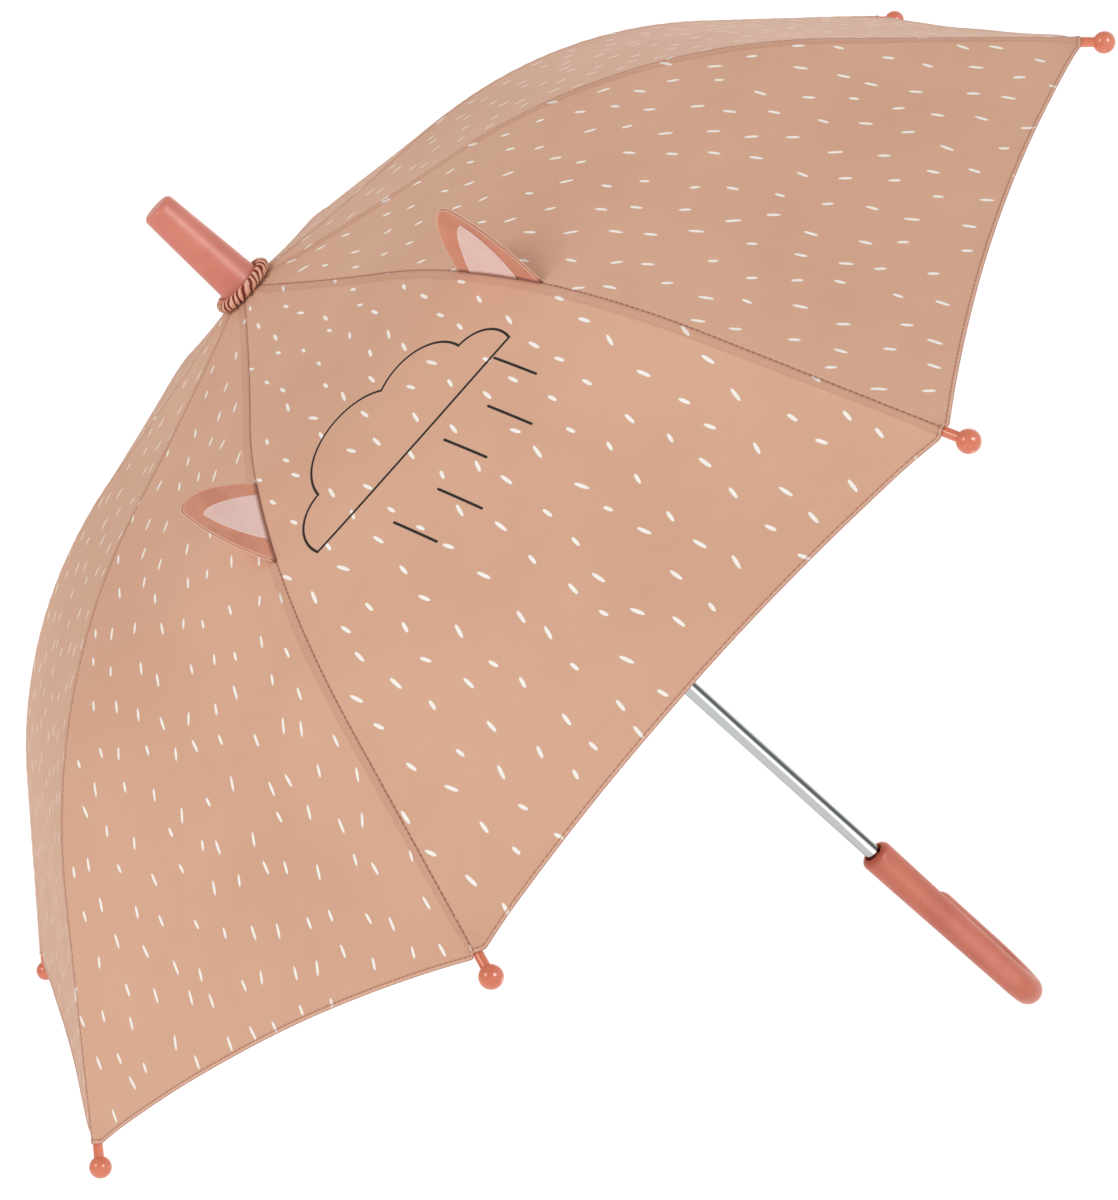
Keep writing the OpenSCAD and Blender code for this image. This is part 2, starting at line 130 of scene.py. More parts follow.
world = bpy.data.worlds.new("studio")
world.use_nodes = True
sky = world.node_tree
direction = sky.nodes.new("ShaderNodeTexCoord")
upward = sky.nodes.new("ShaderNodeSeparateXYZ")
glow = sky.nodes.new("ShaderNodeMapRange")
glow.interpolation_type = "SMOOTHSTEP"
for key, value in {"From Min": 0.16, "From Max": 0.55, "To Min": 1.0, "To Max": 0.46}.items():
    glow.inputs[key].default_value = value
sky.nodes["Background"].inputs["Color"].default_value = (1, 1, 1, 1)
sky.links.new(direction.outputs["Generated"], upward.inputs["Vector"])
sky.links.new(upward.outputs["Z"], glow.inputs["Value"])
sky.links.new(glow.outputs["Result"], sky.nodes["Background"].inputs["Strength"])
scene.world = world
print("lamps", len(bpy.data.lights), "and a table at", round(table_z / MM, 1), "mm")

# %% [markdown]
# ## A small language for finishes
# Shader graphs are easier to read as sums than as boxes and wires. `Socket` wraps one output of a node,
# and Python's operators on it add Math nodes. `Finish` is one material: `node` adds any node, and
# `surface` sets the shader that covers the piece.


# %% Finish
class Socket:
    """One output of a node, which adds Math nodes when it is used in a sum."""

    def __init__(self, finish, link):
        self.finish = finish
        self.link = link

    def math(self, operation, *values):
        return self.finish.node("ShaderNodeMath", {"operation": operation}, dict(enumerate(values)))

    def __add__(self, other):
        return self.math("ADD", self, other)

    def __sub__(self, other):
        return self.math("SUBTRACT", self, other)

    def __rsub__(self, other):
        return self.math("SUBTRACT", other, self)

    def __mul__(self, other):
        return self.math("MULTIPLY", self, other)

    def __truediv__(self, other):
        return self.math("DIVIDE", self, other)

    def __pow__(self, other):
        return self.math("POWER", self, other)

    def __lt__(self, other):
        return self.math("LESS_THAN", self, other)

    def __abs__(self):
        return self.math("ABSOLUTE", self)

    __radd__ = __add__
    __rmul__ = __mul__

    def fraction(self):
        return self.math("FRACT", self)

    def floor(self):
        return self.math("FLOOR", self)

    def sine(self):
        return self.math("SINE", self)

    def angle_to(self, other):
        """The angle of the direction that has this part along X and the other along Y."""
        return self.math("ARCTAN2", other, self)

    def least(self, other):
        return self.math("MINIMUM", self, other)

    def most(self, other):
        return self.math("MAXIMUM", self, other)

    def fade(self, start, end):
        """0 up to start, 1 from end on, smooth between them."""
        return self.finish.node(
            "ShaderNodeMapRange",
            {"interpolation_type": "SMOOTHSTEP"},
            {"Value": self, "From Min": start, "From Max": end, "To Min": 0.0, "To Max": 1.0},
        )


class Finish:
    """One material, whose nodes are added by short expressions."""

    def __init__(self, name):
        self.material = bpy.data.materials.new(name)
        self.material.use_nodes = True
        self.tree = self.material.node_tree
        self.tree.nodes.clear()

    def node(self, kind, settings=None, sockets=None, out=0):
        made = self.tree.nodes.new(kind)
        for key, value in (settings or {}).items():
            setattr(made, key, value)
        for key, value in (sockets or {}).items():
            if isinstance(value, Socket):
                self.tree.links.new(value.link, made.inputs[key])
            else:
                made.inputs[key].default_value = value
        return Socket(self, made.outputs[out]) if made.outputs else None

    def attribute(self, name):
        return self.node("ShaderNodeAttribute", {"attribute_name": name}, out="Fac")

    def place(self):
        """Object coordinates."""
        return self.node("ShaderNodeTexCoord", out="Object")

    def vector(self, x, y, z=0.0):
        return self.node("ShaderNodeCombineXYZ", None, {"X": x, "Y": y, "Z": z})

    def parts(self, vector):
        return [self.node("ShaderNodeSeparateXYZ", None, {"Vector": vector}, out=axis) for axis in "XYZ"]

    def noise(self, where, scale, detail=2.0, roughness=0.5):
        return self.node(
            "ShaderNodeTexNoise", None,
            {"Vector": where, "Scale": scale, "Detail": detail, "Roughness": roughness},
        )

    def mix(self, share, first, second):
        """A colour between two colours."""
        return self.node("ShaderNodeMix", {"data_type": "RGBA"}, {0: share, 6: first, 7: second}, out=2)

    def bump(self, height, distance):
        return self.node(
            "ShaderNodeBump", None, {"Height": height, "Distance": distance, "Strength": 1.0}
        )

    def surface(self, **values):
        """The Principled shader; underscores in the names stand for spaces."""
        sockets = {key.replace("_", " "): value for key, value in values.items()}
        shader = self.node("ShaderNodeBsdfPrincipled", None, sockets)
        self.node("ShaderNodeOutputMaterial", None, {"Surface": shader})
        return self.material


def colour(red, green, blue):
    """A screen colour, 0 to 255 a channel, as the shader's linear colour."""
    def linear(value):
        share = value / 255
        return share / 12.92 if share <= 0.04045 else ((share + 0.055) / 1.055) ** 2.4
    return (linear(red), linear(green), linear(blue), 1.0)

# %% [markdown]
# ## Moulded plastics
# The cap, the handle and the eight ball tips are moulded in three close shades of coral. A moulding is
# never quite even: the colour drifts a little, the gloss is uneven where hands have been, and the
# surface has a faint orange peel. One recipe with three sets of values makes all of them, and a fourth
# makes the dark runner and notch.


# %% Moulded plastics
def moulded(name, tint, shade, gloss, peel):
    """Plastic whose colour drifts between two tints, whose roughness wavers round a value, and whose
    surface has a peel of some depth."""
    finish = Finish(name)
    drift = finish.noise(finish.place(), 45, 3)
    grain = finish.noise(finish.place(), 900, 2)
    scuff = finish.noise(finish.place(), 160, 4, 0.65)
    return finish.surface(
        Base_Color=finish.mix(drift.fade(0.35, 0.65), tint, shade),
        Roughness=gloss * (0.8 + 0.4 * scuff),
        Normal=finish.bump(grain, peel),
        Specular_IOR_Level=0.5,
    )


cap_plastic = moulded("cap_plastic", colour(223, 135, 116), colour(215, 125, 107), 0.42, 0.02 * MM)
handle_plastic = moulded("handle_plastic", colour(204, 110, 86), colour(195, 100, 78), 0.38, 0.04 * MM)
tip_plastic = moulded("tip_plastic", colour(224, 128, 97), colour(216, 118, 89), 0.12, 0.01 * MM)
dark_plastic = moulded("dark_plastic", colour(46, 45, 46), colour(38, 37, 38), 0.42, 0.03 * MM)
print("plastics", cap_plastic.name, handle_plastic.name, tip_plastic.name, dark_plastic.name)

# %% [markdown]
# ## Steel
# The tube is bright drawn steel, and its colour carries painted reflections in long bands round it: dark,
# bright and grey. Ribs and stretchers are zinc plated: greyer, with a softer shine and a cloudy drift. The
# wires, pins and rivets are plain steel.


# %% Steel
def plated(name, tint, shade, gloss):
    """Steel with a cloudy drift of tone and shine."""
    finish = Finish(name)
    cloud = finish.noise(finish.place(), 260, 3)
    scratch = finish.noise(finish.place(), 1500, 2)
    return finish.surface(
        Base_Color=finish.mix(cloud.fade(0.3, 0.7), tint, shade),
        Metallic=1.0,
        Roughness=gloss + (cloud - 0.5) * 0.1,
        Normal=finish.bump(scratch, 0.004 * MM),
    )


def tube_with_painted_reflections():
    """Bright tube with painted reflections in bands round the shaft, and fine streaks along it."""
    finish = Finish("bright_tube")
    x, y, z = finish.parts(finish.place())
    reflection_bands = 3
    reflection_band_start = 0.275
    wander = 0.015 * (z * 37).sine()
    share = (x.angle_to(y) * (-reflection_bands / math.tau) + wander - reflection_band_start).fraction()
    streak = finish.noise(finish.vector(x * 2600, y * 2600, z * 12), 1.0, 2)
    # Painted reflections: a dark band and a bright band, with grey between, fixed round the tube.
    dark = share.fade(0.01, 0.06) - share.fade(0.25, 0.33)
    bright = share.fade(0.3, 0.36) - share.fade(0.46, 0.52)
    base = finish.mix(bright, (0.5, 0.52, 0.51, 1), (0.9, 0.9, 0.9, 1))
    base = finish.mix(dark, base, (0.1, 0.11, 0.12, 1))
    return finish.surface(
        Base_Color=finish.mix(streak.fade(0.55, 0.8) * 0.25, base, (0.4, 0.41, 0.42, 1)),
        Metallic=1.0,
        Roughness=0.12 + (streak - 0.5) * 0.1,
    )


bright_tube = tube_with_painted_reflections()
rib_steel = plated("rib_steel", (0.60, 0.61, 0.62, 1), (0.50, 0.51, 0.53, 1), 0.30)
plain_steel = plated("plain_steel", (0.50, 0.50, 0.51, 1), (0.42, 0.42, 0.43, 1), 0.32)

# %% [markdown]
# The solids of the frame keep their shape and take these finishes. Each goes into the material slot of
# the solid's own mesh.


# %% Dress the frame
every_rib = range(1, 9)


def dress(finish, *nodes):
    for name in nodes:
        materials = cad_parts[name].data.materials
        materials.clear()
        materials.append(finish)
    print(finish.name, "on", len(nodes), "solids")


def numbered(*stems):
    return [f"{stem}_{i}" for stem in stems for i in every_rib]


dress(bright_tube, "shaft_tube")
dress(rib_steel, *numbered("rib", "stretcher"))
dress(plain_steel, "notch_wire", "runner_wire", "notch_pin", "runner_stop", "open_catch", "closed_catch",
      *numbered("rivet"))
dress(dark_plastic, "notch", "runner", "top_washer")
dress(cap_plastic, "tip_cap")
dress(handle_plastic, "handle")
dress(tip_plastic, *numbered("rib_tip"))

# %% [markdown]
# ## The line of a rib
# A rib leaves the notch on a straight root, bends through an arc and runs straight to its ball tip. The
# cloth lies a little above that line and rises near the crown to pass over the notch. The notch's wire
# in the frame gives the pivot; the rest are the rib's own sizes.

# %% The line of a rib
rib_count = 8
rib_step = math.tau / rib_count
root_slope = math.radians(9.5)
tip_slope = math.radians(44)
root_len = 109.5 * MM
bend_r = 300 * MM
end_len = 118.5 * MM
bend_len = bend_r * (tip_slope - root_slope)
rib_len = root_len + bend_len + end_len
wire_low, wire_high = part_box("notch_wire")
notch_z = (wire_low.z + wire_high.z) / 2
pivot_r = wire_high.x - (wire_high.z - wire_low.z) / 2
cloth_lift = 2.8 * MM
cloth_rise = 3 * MM
cloth_rise_len = 100 * MM


def heading(turn):
    """The level direction at an angle from +X."""
    return Vector((math.cos(turn), math.sin(turn), 0))


def azimuth(i):
    """Direction of rib i, seen from above. The front gore lies between ribs 1 and 2."""
    return -math.pi / 2 + rib_step / 2 - (i - 1) * rib_step


def rib_line(s):
    """Radius, height and downward slope of a rib at the length s from its pivot."""
    slope = min(max(root_slope + (s - root_len) / bend_r, root_slope), tip_slope)
    on_root = min(s, root_len)
    on_end = max(s - root_len - bend_len, 0)
    r = pivot_r + on_root * math.cos(root_slope) + on_end * math.cos(tip_slope)
    z = notch_z - on_root * math.sin(root_slope) - on_end * math.sin(tip_slope)
    r += bend_r * (math.sin(slope) - math.sin(root_slope))
    z += bend_r * (math.cos(slope) - math.cos(root_slope))
    return r, z, slope


def cloth_line(s):
    """The same line, raised to the middle of the cloth."""
    r, z, slope = rib_line(s)
    off = cloth_lift + cloth_rise * max(0, 1 - max(s, 0) / cloth_rise_len) ** 2
    return r + off * math.sin(slope), z + off * math.cos(slope), slope


print("rib", round(rib_len / MM, 1), "mm, tip at radius", round(rib_line(rib_len)[0] / MM, 1), "mm")

# %% [markdown]
# ## Canopy cloth
# The cloth is a fine polyester, printed with off-white grains that lie along each gore. The print is
# drawn in lengths on the cloth itself, so every gore carries five lengths on its points: how far across
# and along it a point lies, and how far it is from its two seams and its hem. A grid of cells holds one
# grain each, shifted and turned by random numbers of the cell, which is how a scattered print can be
# made without a picture. The front gore also carries a line drawing of a rain cloud. On the inner side
# the print only shows through.

# %% Canopy cloth
cloth_tint = colour(221, 173, 145)
cloth_shade = colour(214, 165, 137)
# Thread brown, also used for painted shade at the seams, the hem's edge and the ears' feet.
thread_and_shade_brown = colour(158, 90, 72)
hem_pale = colour(236, 190, 170)
ink_white = colour(250, 246, 238)
ink_black = colour(30, 26, 26)
grain_across = 18 * MM
grain_along = 20.2 * MM
grain_half_w = 0.8 * MM
grain_half_len = 2.9 * MM
grain_aside, grain_ahead, grain_turn = 0.5, 0.4, 0.7
grain_show_through = 0.16
line_show_through = 0.25
fell_w = 4.6 * MM
fell_taper = 0.35
hem_w = 1.7 * MM
stitch_len = 2.6 * MM
weave_pitch = 0.42 * MM
# The first is the painted shade along each seam's crease; the second, the stitches.
crease_shade_dark, stitch_dark = 0.5, 0.4
fell_edge_dark, fell_dark = 0.24, 0.17
hem_fold_pale = 0.35
# The first is painted shade at the hem's very edge; the others are the hem's stitched row.
hem_edge_shade_dark, hem_row_dark, hem_stitch_dark = 0.6, 0.4, 0.25


def rice_grains(finish, across, along):
    """Where the scattered grains are printed."""
    column = across / grain_across
    offset = finish.node("ShaderNodeTexWhiteNoise", {"noise_dimensions": "1D"}, {"W": column.floor()})
    row = along / grain_along + offset
    cell = finish.vector(column.floor(), row.floor())
    chance = finish.node(
        "ShaderNodeTexWhiteNoise", {"noise_dimensions": "2D"}, {"Vector": cell}, out="Color"
    )
    aside, ahead, turn = finish.parts(chance)
    x = (column.fraction() - 0.5 - (aside - 0.5) * grain_aside) * grain_across
    y = (row.fraction() - 0.5 - (ahead - 0.5) * grain_ahead) * grain_along
    turned = finish.node(
        "ShaderNodeVectorRotate", {"rotation_type": "Z_AXIS"},
        {"Vector": finish.vector(x, y), "Angle": (turn - 0.5) * grain_turn},
    )
    x, y, _ = finish.parts(turned)
    length = (0.8 + 0.45 * (aside * 7).fraction()) * grain_half_len
    grain = abs(x / grain_half_w) ** 2.0 + abs(y / length) ** 2.4
    return 1 - grain.fade(0.75, 1.2)


def rain_cloud(finish, across, along):
    """A line drawing: the outline of a cloud and slanting lines of rain below it."""
    line_w = 1.2 * MM
    line_edge = line_w * 0.4, line_w * 0.6
    middle = 205 * MM
    base = 11 * MM
    puffs = [(-38, -8, 17), (-15, 7, 24), (18, 11, 28), (45, -6, 19)]
    rain_count = 5
    rain_pitch = 20 * MM
    rain_half_len = 12 * MM
    rain_below = 24 * MM
    rain_stagger = 11 * MM
    rain_slant = math.radians(14)
    spot = finish.vector(across, middle - along)
    inside = None
    for x, y, r in puffs:
        centre = (x * MM, y * MM, 0)
        reach = finish.node(
            "ShaderNodeVectorMath", {"operation": "DISTANCE"}, {0: spot, 1: centre}, out="Value"
        ) - r * MM
        inside = reach if inside is None else inside.least(reach)
    inside = inside.most(along - middle - base)
    outline = 1 - abs(inside).fade(*line_edge)
    slanted = finish.node(
        "ShaderNodeVectorRotate", {"rotation_type": "Z_AXIS"}, {"Vector": spot, "Angle": rain_slant}
    )
    x, y, _ = finish.parts(slanted)
    stroke = (x / rain_pitch + 0.5).floor()
    odd = abs(stroke * 0.5).fraction() * 2
    beside = x - stroke * rain_pitch
    beyond = (abs(y + base + rain_below + odd * rain_stagger) - rain_half_len).most(0)
    gap = finish.node(
        "ShaderNodeVectorMath", {"operation": "LENGTH"}, {0: finish.vector(beside, beyond)}, out="Value"
    )
    rain = (1 - gap.fade(*line_edge)) * (abs(stroke) < rain_count / 2)
    return outline.most(rain)


def canopy_cloth(name, drawing=False, inner=False):
    """The printed side of the cloth, or the plain side that faces the shaft."""
    finish = Finish(name)
    across, along = finish.attribute("across"), finish.attribute("along")
    from_seam, to_seam, to_hem = (finish.attribute(x) for x in ("from_seam", "to_seam", "to_hem"))
    drift = finish.noise(finish.place(), 9, 4, 0.6)
    base = finish.mix(drift.fade(0.3, 0.7), cloth_tint, cloth_shade)
    grains = rice_grains(finish, across, along)
    base = finish.mix(grains * (grain_show_through if inner else 1.0), base, ink_white)
    if drawing:
        lines = rain_cloud(finish, across, along)
        base = finish.mix(lines * (line_show_through if inner else 1.0), base, ink_black)
    stitch = (along * (math.tau / stitch_len)).sine().fade(-0.5, 0.3)
    # The seam's stitches are thread; the steady dark line along its crease is painted shade.
    crease = 1 - from_seam.least(to_seam).fade(0.2 * MM, 0.9 * MM)
    past_fell = from_seam - fell_w * (1 - fell_taper * along.fade(0.5 * rib_len, rib_len))
    fell_edge = 1 - abs(past_fell).fade(0.2 * MM, 1.2 * MM)
    fell = 1 - past_fell.fade(-0.5 * MM, 0.5 * MM)
    hem_fold = 1 - to_hem.fade(hem_w - 0.3 * MM, hem_w)
    # Painted shade: a thin dark line along the very edge of the hem.
    hem_edge_shade = 1 - to_hem.fade(0.1 * MM, 0.5 * MM)
    hem_row = 1 - abs(to_hem - hem_w).fade(0.2 * MM, 0.6 * MM)
    hem_stitch = (across * (math.tau / stitch_len)).sine().fade(-0.4, 0.2)
    base = finish.mix(hem_fold * hem_fold_pale, base, hem_pale)
    dark = crease * (crease_shade_dark + stitch_dark * stitch)
    dark = dark.most(fell_edge * fell_edge_dark).most(fell * fell_dark)
    dark = dark.most(hem_edge_shade * hem_edge_shade_dark).most(hem_row * (hem_row_dark + hem_stitch_dark * hem_stitch))
    base = finish.mix(dark, base, thread_and_shade_brown)
    weave = (across * (math.tau / weave_pitch)).sine() * (along * (math.tau / weave_pitch)).sine()
    thread = finish.noise(finish.vector(across * 60, along * 900), 1.0, 2)
    relief = weave * 0.35 + thread + hem_row * hem_stitch * -2.0
    return finish.surface(
        Base_Color=base,
        Roughness=0.72 + (drift - 0.5) * 0.12 - grains * 0.1,
        Normal=finish.bump(relief, 0.03 * MM),
        Specular_IOR_Level=0.3,
        Sheen_Weight=0.12,
        Sheen_Roughness=0.45,
        Sheen_Tint=(1.0, 0.9, 0.84, 1),
    )


plain_gore = canopy_cloth("canopy_cloth")
front_gore = canopy_cloth("canopy_cloth_front", drawing=True)
plain_gore_inside = canopy_cloth("canopy_cloth_inside", inner=True)
front_gore_inside = canopy_cloth("canopy_cloth_front_inside", drawing=True, inner=True)
print("cloth finishes", plain_gore.name, front_gore.name)

# %% [markdown]
# ## Gores
# The canopy is eight gores of cloth, sewn to each other along the ribs and hemmed. Stretched cloth runs
# nearly straight from rib to rib, with a slight dip, and its hem is cut back in an arc between the tips.
# A flat grid is bent over that form: rows run along the seams, closer near the hem, and columns run
# across, closer at the seams, where the sewing shows. A small relief is added along the cloth's normal:
# the felled seam with its pucker and pulls, the turned hem with a pocket at each tip, gathers below the
# crown, and slow waves. Solidify gives the cloth its thickness and puts the plain side inside.
#
# Each point of a gore also carries its share of the way between the two seams.

# %% Shape of a gore
cloth_in = -3 * MM
cloth_out = rib_len - 8.5 * MM
hem_gap = 2 * cloth_line(cloth_out)[0] * math.sin(rib_step / 2)
hem_scallop = 9.5 * MM
corner_cut = 2.2 * MM
corner_half = 4.6 * MM
cloth_dip = 0.004
cloth_t = 0.35 * MM
fell_h = 0.28 * MM
crease_depth = 0.35 * MM
hem_h = 0.22 * MM
pocket_depth, pocket_r = 2 * MM, 13 * MM
pucker_h, pucker_pitch, pucker_reach = 0.16 * MM, 9 * MM, 7 * MM
pull_h, pull_pitch, pull_reach = 0.4 * MM, 21 * MM, 22 * MM
gather_h, gather_len, gather_waves = 0.25 * MM, 70 * MM, 3
wave_h = 0.7 * MM


def bow(v):
    """0 at both seams and 1 half way between them."""
    return 4 * v * (1 - v)


def ease(value, start, end):
    """0 up to start, 1 from end on, smooth between them."""
    share = min(max((value - start) / (end - start), 0), 1)
    return share * share * (3 - 2 * share)


def hem_at(v):
    """Length at which the hem crosses a gore, cut square at the corners for the tips."""
    near = min(v, 1 - v) * hem_gap
    return cloth_out - hem_scallop * bow(v) - corner_cut * max(0, 1 - near / corner_half)


def gore_point(i, s, v):
    """A point of gore i, the cloth's outward normal there, and the gap between the seams."""
    r, z, slope = cloth_line(s)
    edge, far_edge = heading(azimuth(i)), heading(azimuth(i) - rib_step)
    outward = heading(azimuth(i) - rib_step / 2)
    steep = math.atan(math.tan(slope) / math.cos(rib_step / 2))
    normal = outward * math.sin(steep) + Vector((0, 0, math.cos(steep)))
    gap = 2 * r * math.sin(rib_step / 2)
    point = edge.lerp(far_edge, v) * r + Vector((0, 0, z)) - normal * (cloth_dip * gap * bow(v))
    return point, normal, gap


def gore_relief(i, s, v, gap):
    """Height of the sewing, pucker and waves above the smooth cloth."""
    from_seam, to_seam, to_hem = v * gap, (1 - v) * gap, hem_at(v) - s
    near = min(from_seam, to_seam)
    side = 1 if from_seam < to_seam else 2
    past_fell = from_seam - fell_w * (1 - fell_taper * ease(s, 0.5 * rib_len, rib_len))
    fell = ease(from_seam, 0.6 * MM, 1.6 * MM) - ease(past_fell, -0.6 * MM, 0.6 * MM)
    crease = math.exp(-((near / (0.8 * MM)) ** 2))
    wander = noise.noise((s * 60, i * 3.1, side * 5.7))
    pucker = math.exp(-near / pucker_reach) * ease(near, 0, 3 * MM)
    pucker *= math.sin(math.tau * s / pucker_pitch + 4 * wander)
    pull = math.exp(-near / pull_reach) * ease(near, 0, 5 * MM)
    pull *= math.sin(math.tau * (s - near / 2) / pull_pitch)
    pull *= max(0, noise.noise((s * 22, i * 7.3, side * 2.9)))
    gather = ease(-s, -gather_len, 0) * bow(v) * math.sin(math.tau * gather_waves * v + i)
    wave = bow(v) * noise.noise((math.cos(i) * 3 + v * gap * 16, s * 9, i * 2.3))
    hem = 1 - ease(to_hem, hem_w - 0.3 * MM, hem_w + 0.3 * MM)
    pocket = math.exp(-(near * near + to_hem * to_hem) / pocket_r ** 2) * ease(near, 1 * MM, 4 * MM)
    sewing = fell_h * fell - crease_depth * crease + hem_h * hem - pocket_depth * pocket
    return sewing + pucker_h * pucker + pull_h * pull + gather_h * gather + wave_h * wave


print("gap between the seams at the hem", round(gore_point(1, cloth_out, 0)[2] / MM), "mm")

# %% Gores
gore_rows = 190
gore_columns = 76
seam_crowding = 0.72
hem_crowding = 0.5
grains_apart = 100
cut_steps = 60
cut_step = hem_at(0.5) / cut_steps
cut_area = sum(gore_point(1, (k + 0.5) * cut_step, 0)[2] * cut_step for k in range(cut_steps))


def add_piece(bm, name, *finishes):
    """A finished bmesh becomes an object at the origin, smooth, with its finishes."""
    mesh = bpy.data.meshes.new(name)
    bm.to_mesh(mesh)
    bm.free()
    for finish in finishes:
        mesh.materials.append(finish)
    mesh.shade_smooth()
    piece = bpy.data.objects.new(name, mesh)
    scene.collection.objects.link(piece)
    return piece


def thicken(piece, thickness, inner_slot=0):
    """Grows the cloth inwards; the inner side takes the material slot that many places on."""
    solid = piece.modifiers.new("thickness", "SOLIDIFY")
    solid.thickness = thickness
    solid.offset = -1
    solid.material_offset = inner_slot


def sew_gore(i):
    """Gore i, with the lengths that its print needs and its share of the way between the two ribs."""
    bm = bmesh.new()
    bmesh.ops.create_grid(bm, x_segments=gore_columns, y_segments=gore_rows, size=0.5)
    marks = {
        name: bm.verts.layers.float.new(name)
        for name in ("across", "along", "from_seam", "to_seam", "to_hem", "share")
    }
    for vert in bm.verts:
        column, row = vert.co.x + 0.5, vert.co.y + 0.5
        v = column - seam_crowding * math.sin(math.tau * column) / math.tau
        u = row + hem_crowding * row * (1 - row)
        s = cloth_in + u * (hem_at(v) - cloth_in)
        point, normal, gap = gore_point(i, s, v)
        vert.co = point + normal * gore_relief(i, s, v, gap)
        values = {
            "across": (v - 0.5) * gap + i * grains_apart * grain_across * (i > 1),
            "along": s,
            "from_seam": v * gap,
            "to_seam": (1 - v) * gap,
            "to_hem": hem_at(v) - s,
            "share": v,
        }
        for name, value in values.items():
            vert[marks[name]] = value
    bmesh.ops.recalc_face_normals(bm, faces=bm.faces)
    if sum(face.normal.z for face in bm.faces) < 0:
        bmesh.ops.reverse_faces(bm, faces=bm.faces)
    finishes = (front_gore, front_gore_inside) if i == 1 else (plain_gore, plain_gore_inside)
    gore = add_piece(bm, f"gore_{i}", *finishes)
    thicken(gore, cloth_t, inner_slot=1)
    return gore


for i in every_rib:
    gore = sew_gore(i)
    start, end = (gore_point(i, cloth_out, v)[0] for v in (0, 1))
    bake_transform(gore)
    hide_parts(f"canopy_panel_{i}")
print("gores", rib_count, "of", round(cut_area * 1e4), "square centimetres")

# %% [markdown]
# ## Gathered ring
# A strip of the canopy cloth is gathered into a ring that hides where the gores end at the cap. It looks
# like a twisted rope: slanting puffs with creases between them, and the creases are darkened with painted
# shade, deeper on one side of the tube. A circle is spun into a torus, and its points move in and out of
# the tube with a wave that runs round and over it.

# %% Gathered ring
ring_low, ring_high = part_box("rosette")
ring_tube = (ring_high.z - ring_low.z) / 2
ring_mid_r = ring_high.x - ring_tube
ring_z = (ring_high.z + ring_low.z) / 2
ring_folds = 28
ring_twist = -2.4
ring_waist = 0.64
ring_puff = 0.4
steps_per_fold = 18


def ring_cloth():
    finish = Finish("ring_cloth")
    crease = finish.attribute("crease")
    drift = finish.noise(finish.place(), 120, 3)
    fibre = finish.noise(finish.place(), 2500, 2)
    base = finish.mix(drift, colour(238, 190, 164), colour(222, 166, 138))
    # Painted shade: the creases are mixed towards a dark red-brown.
    base = finish.mix(crease.fade(0.13, 0.36) * 0.97, base, colour(132, 44, 30))
    return finish.surface(
        Base_Color=base, Roughness=0.7, Normal=finish.bump(fibre, 0.04 * MM), Specular_IOR_Level=0.2,
    )


bm = bmesh.new()
bmesh.ops.create_circle(bm, segments=32, radius=ring_tube)
bmesh.ops.rotate(bm, verts=bm.verts, matrix=Matrix.Rotation(math.pi / 2, 3, "X"))
bmesh.ops.translate(bm, verts=bm.verts, vec=(ring_mid_r, 0, ring_z))
bmesh.ops.spin(
    bm, geom=bm.verts[:] + bm.edges[:], cent=(0, 0, 0), axis=(0, 0, 1), angle=math.tau,
    steps=ring_folds * steps_per_fold, use_merge=True,
)
bmesh.ops.recalc_face_normals(bm, faces=bm.faces)
crease_shade_mark = bm.verts.layers.float.new("crease")
for vert in bm.verts:
    turn = math.atan2(vert.co.y, vert.co.x)
    outward = heading(turn)
    core = outward * ring_mid_r + Vector((0, 0, ring_z))
    spoke = vert.co - core
    over = math.atan2(spoke.z, spoke.dot(outward))
    uneven = 1.3 * noise.noise(outward * 2)
    uneven += 0.9 * noise.noise(outward * 6.5 + Vector((0, 0, 0.25 * over)))
    puff = abs(math.cos((ring_folds * turn + ring_twist * over) / 2 + uneven)) ** 0.7
    size = ring_waist + ring_puff * puff + 0.05 * noise.noise(vert.co * 400)
    # Depth of the painted shade in a crease: deeper on one side of the tube, uneven round the ring.
    vert[crease_shade_mark] = (1 - puff) * (1 + 0.35 * math.sin(over - 0.6) + 0.5 * noise.noise(outward * 9))
    vert.co = core + spoke * size
ring = add_piece(bm, "gathered_ring", ring_cloth())
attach(ring, "root")
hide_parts("rosette")
print("ring", round(ring_mid_r / MM, 1), "mm to the middle of the tube")

# %% [markdown]
# ## Ears
# Two cloth ears stand in the seams over ribs 1 and 2. Each is two layers of deeper cloth, sewn and turned,
# with a pale lining on the side that faces the front gore. A grid is bent into the rounded outline: its
# foot follows the seam and it leans away from the front. The layers are separate thin sheets with a small
# gap, so the double edge shows as it does on the real ear, and all of them are hollowed alike, so the
# lining lies flat.

# %% Cut of the ears
ear_w = 49 * MM
ear_h = 39 * MM
ear_curves = (0.6, 0.8)
ear_hollow = 2.2 * MM
lining_w = ear_w * 0.57
lining_h = ear_h * 0.72
lining_curves = (0.65, 1.0)
layer_t = 0.4 * MM
ear_columns = 36
ear_rows = 36


class Ear(NamedTuple):
    """Where an ear stands: its seat along the rib, the way that it leans, and how far the points of its
    outer layers and of its lining are swept along the seam."""
    side: str
    rib: int
    way: int
    seat: float
    lean: float
    sweep: float
    lining_sweep: float


class Layer(NamedTuple):
    """The cut of one layer: back is its distance behind the ear's middle, shift moves its foot along the
    seam and sweep its point, and the two curves shape its edge towards the crown and the rib's tip."""
    width: float
    height: float
    back: float
    shift: float
    sweep: float
    curves: tuple


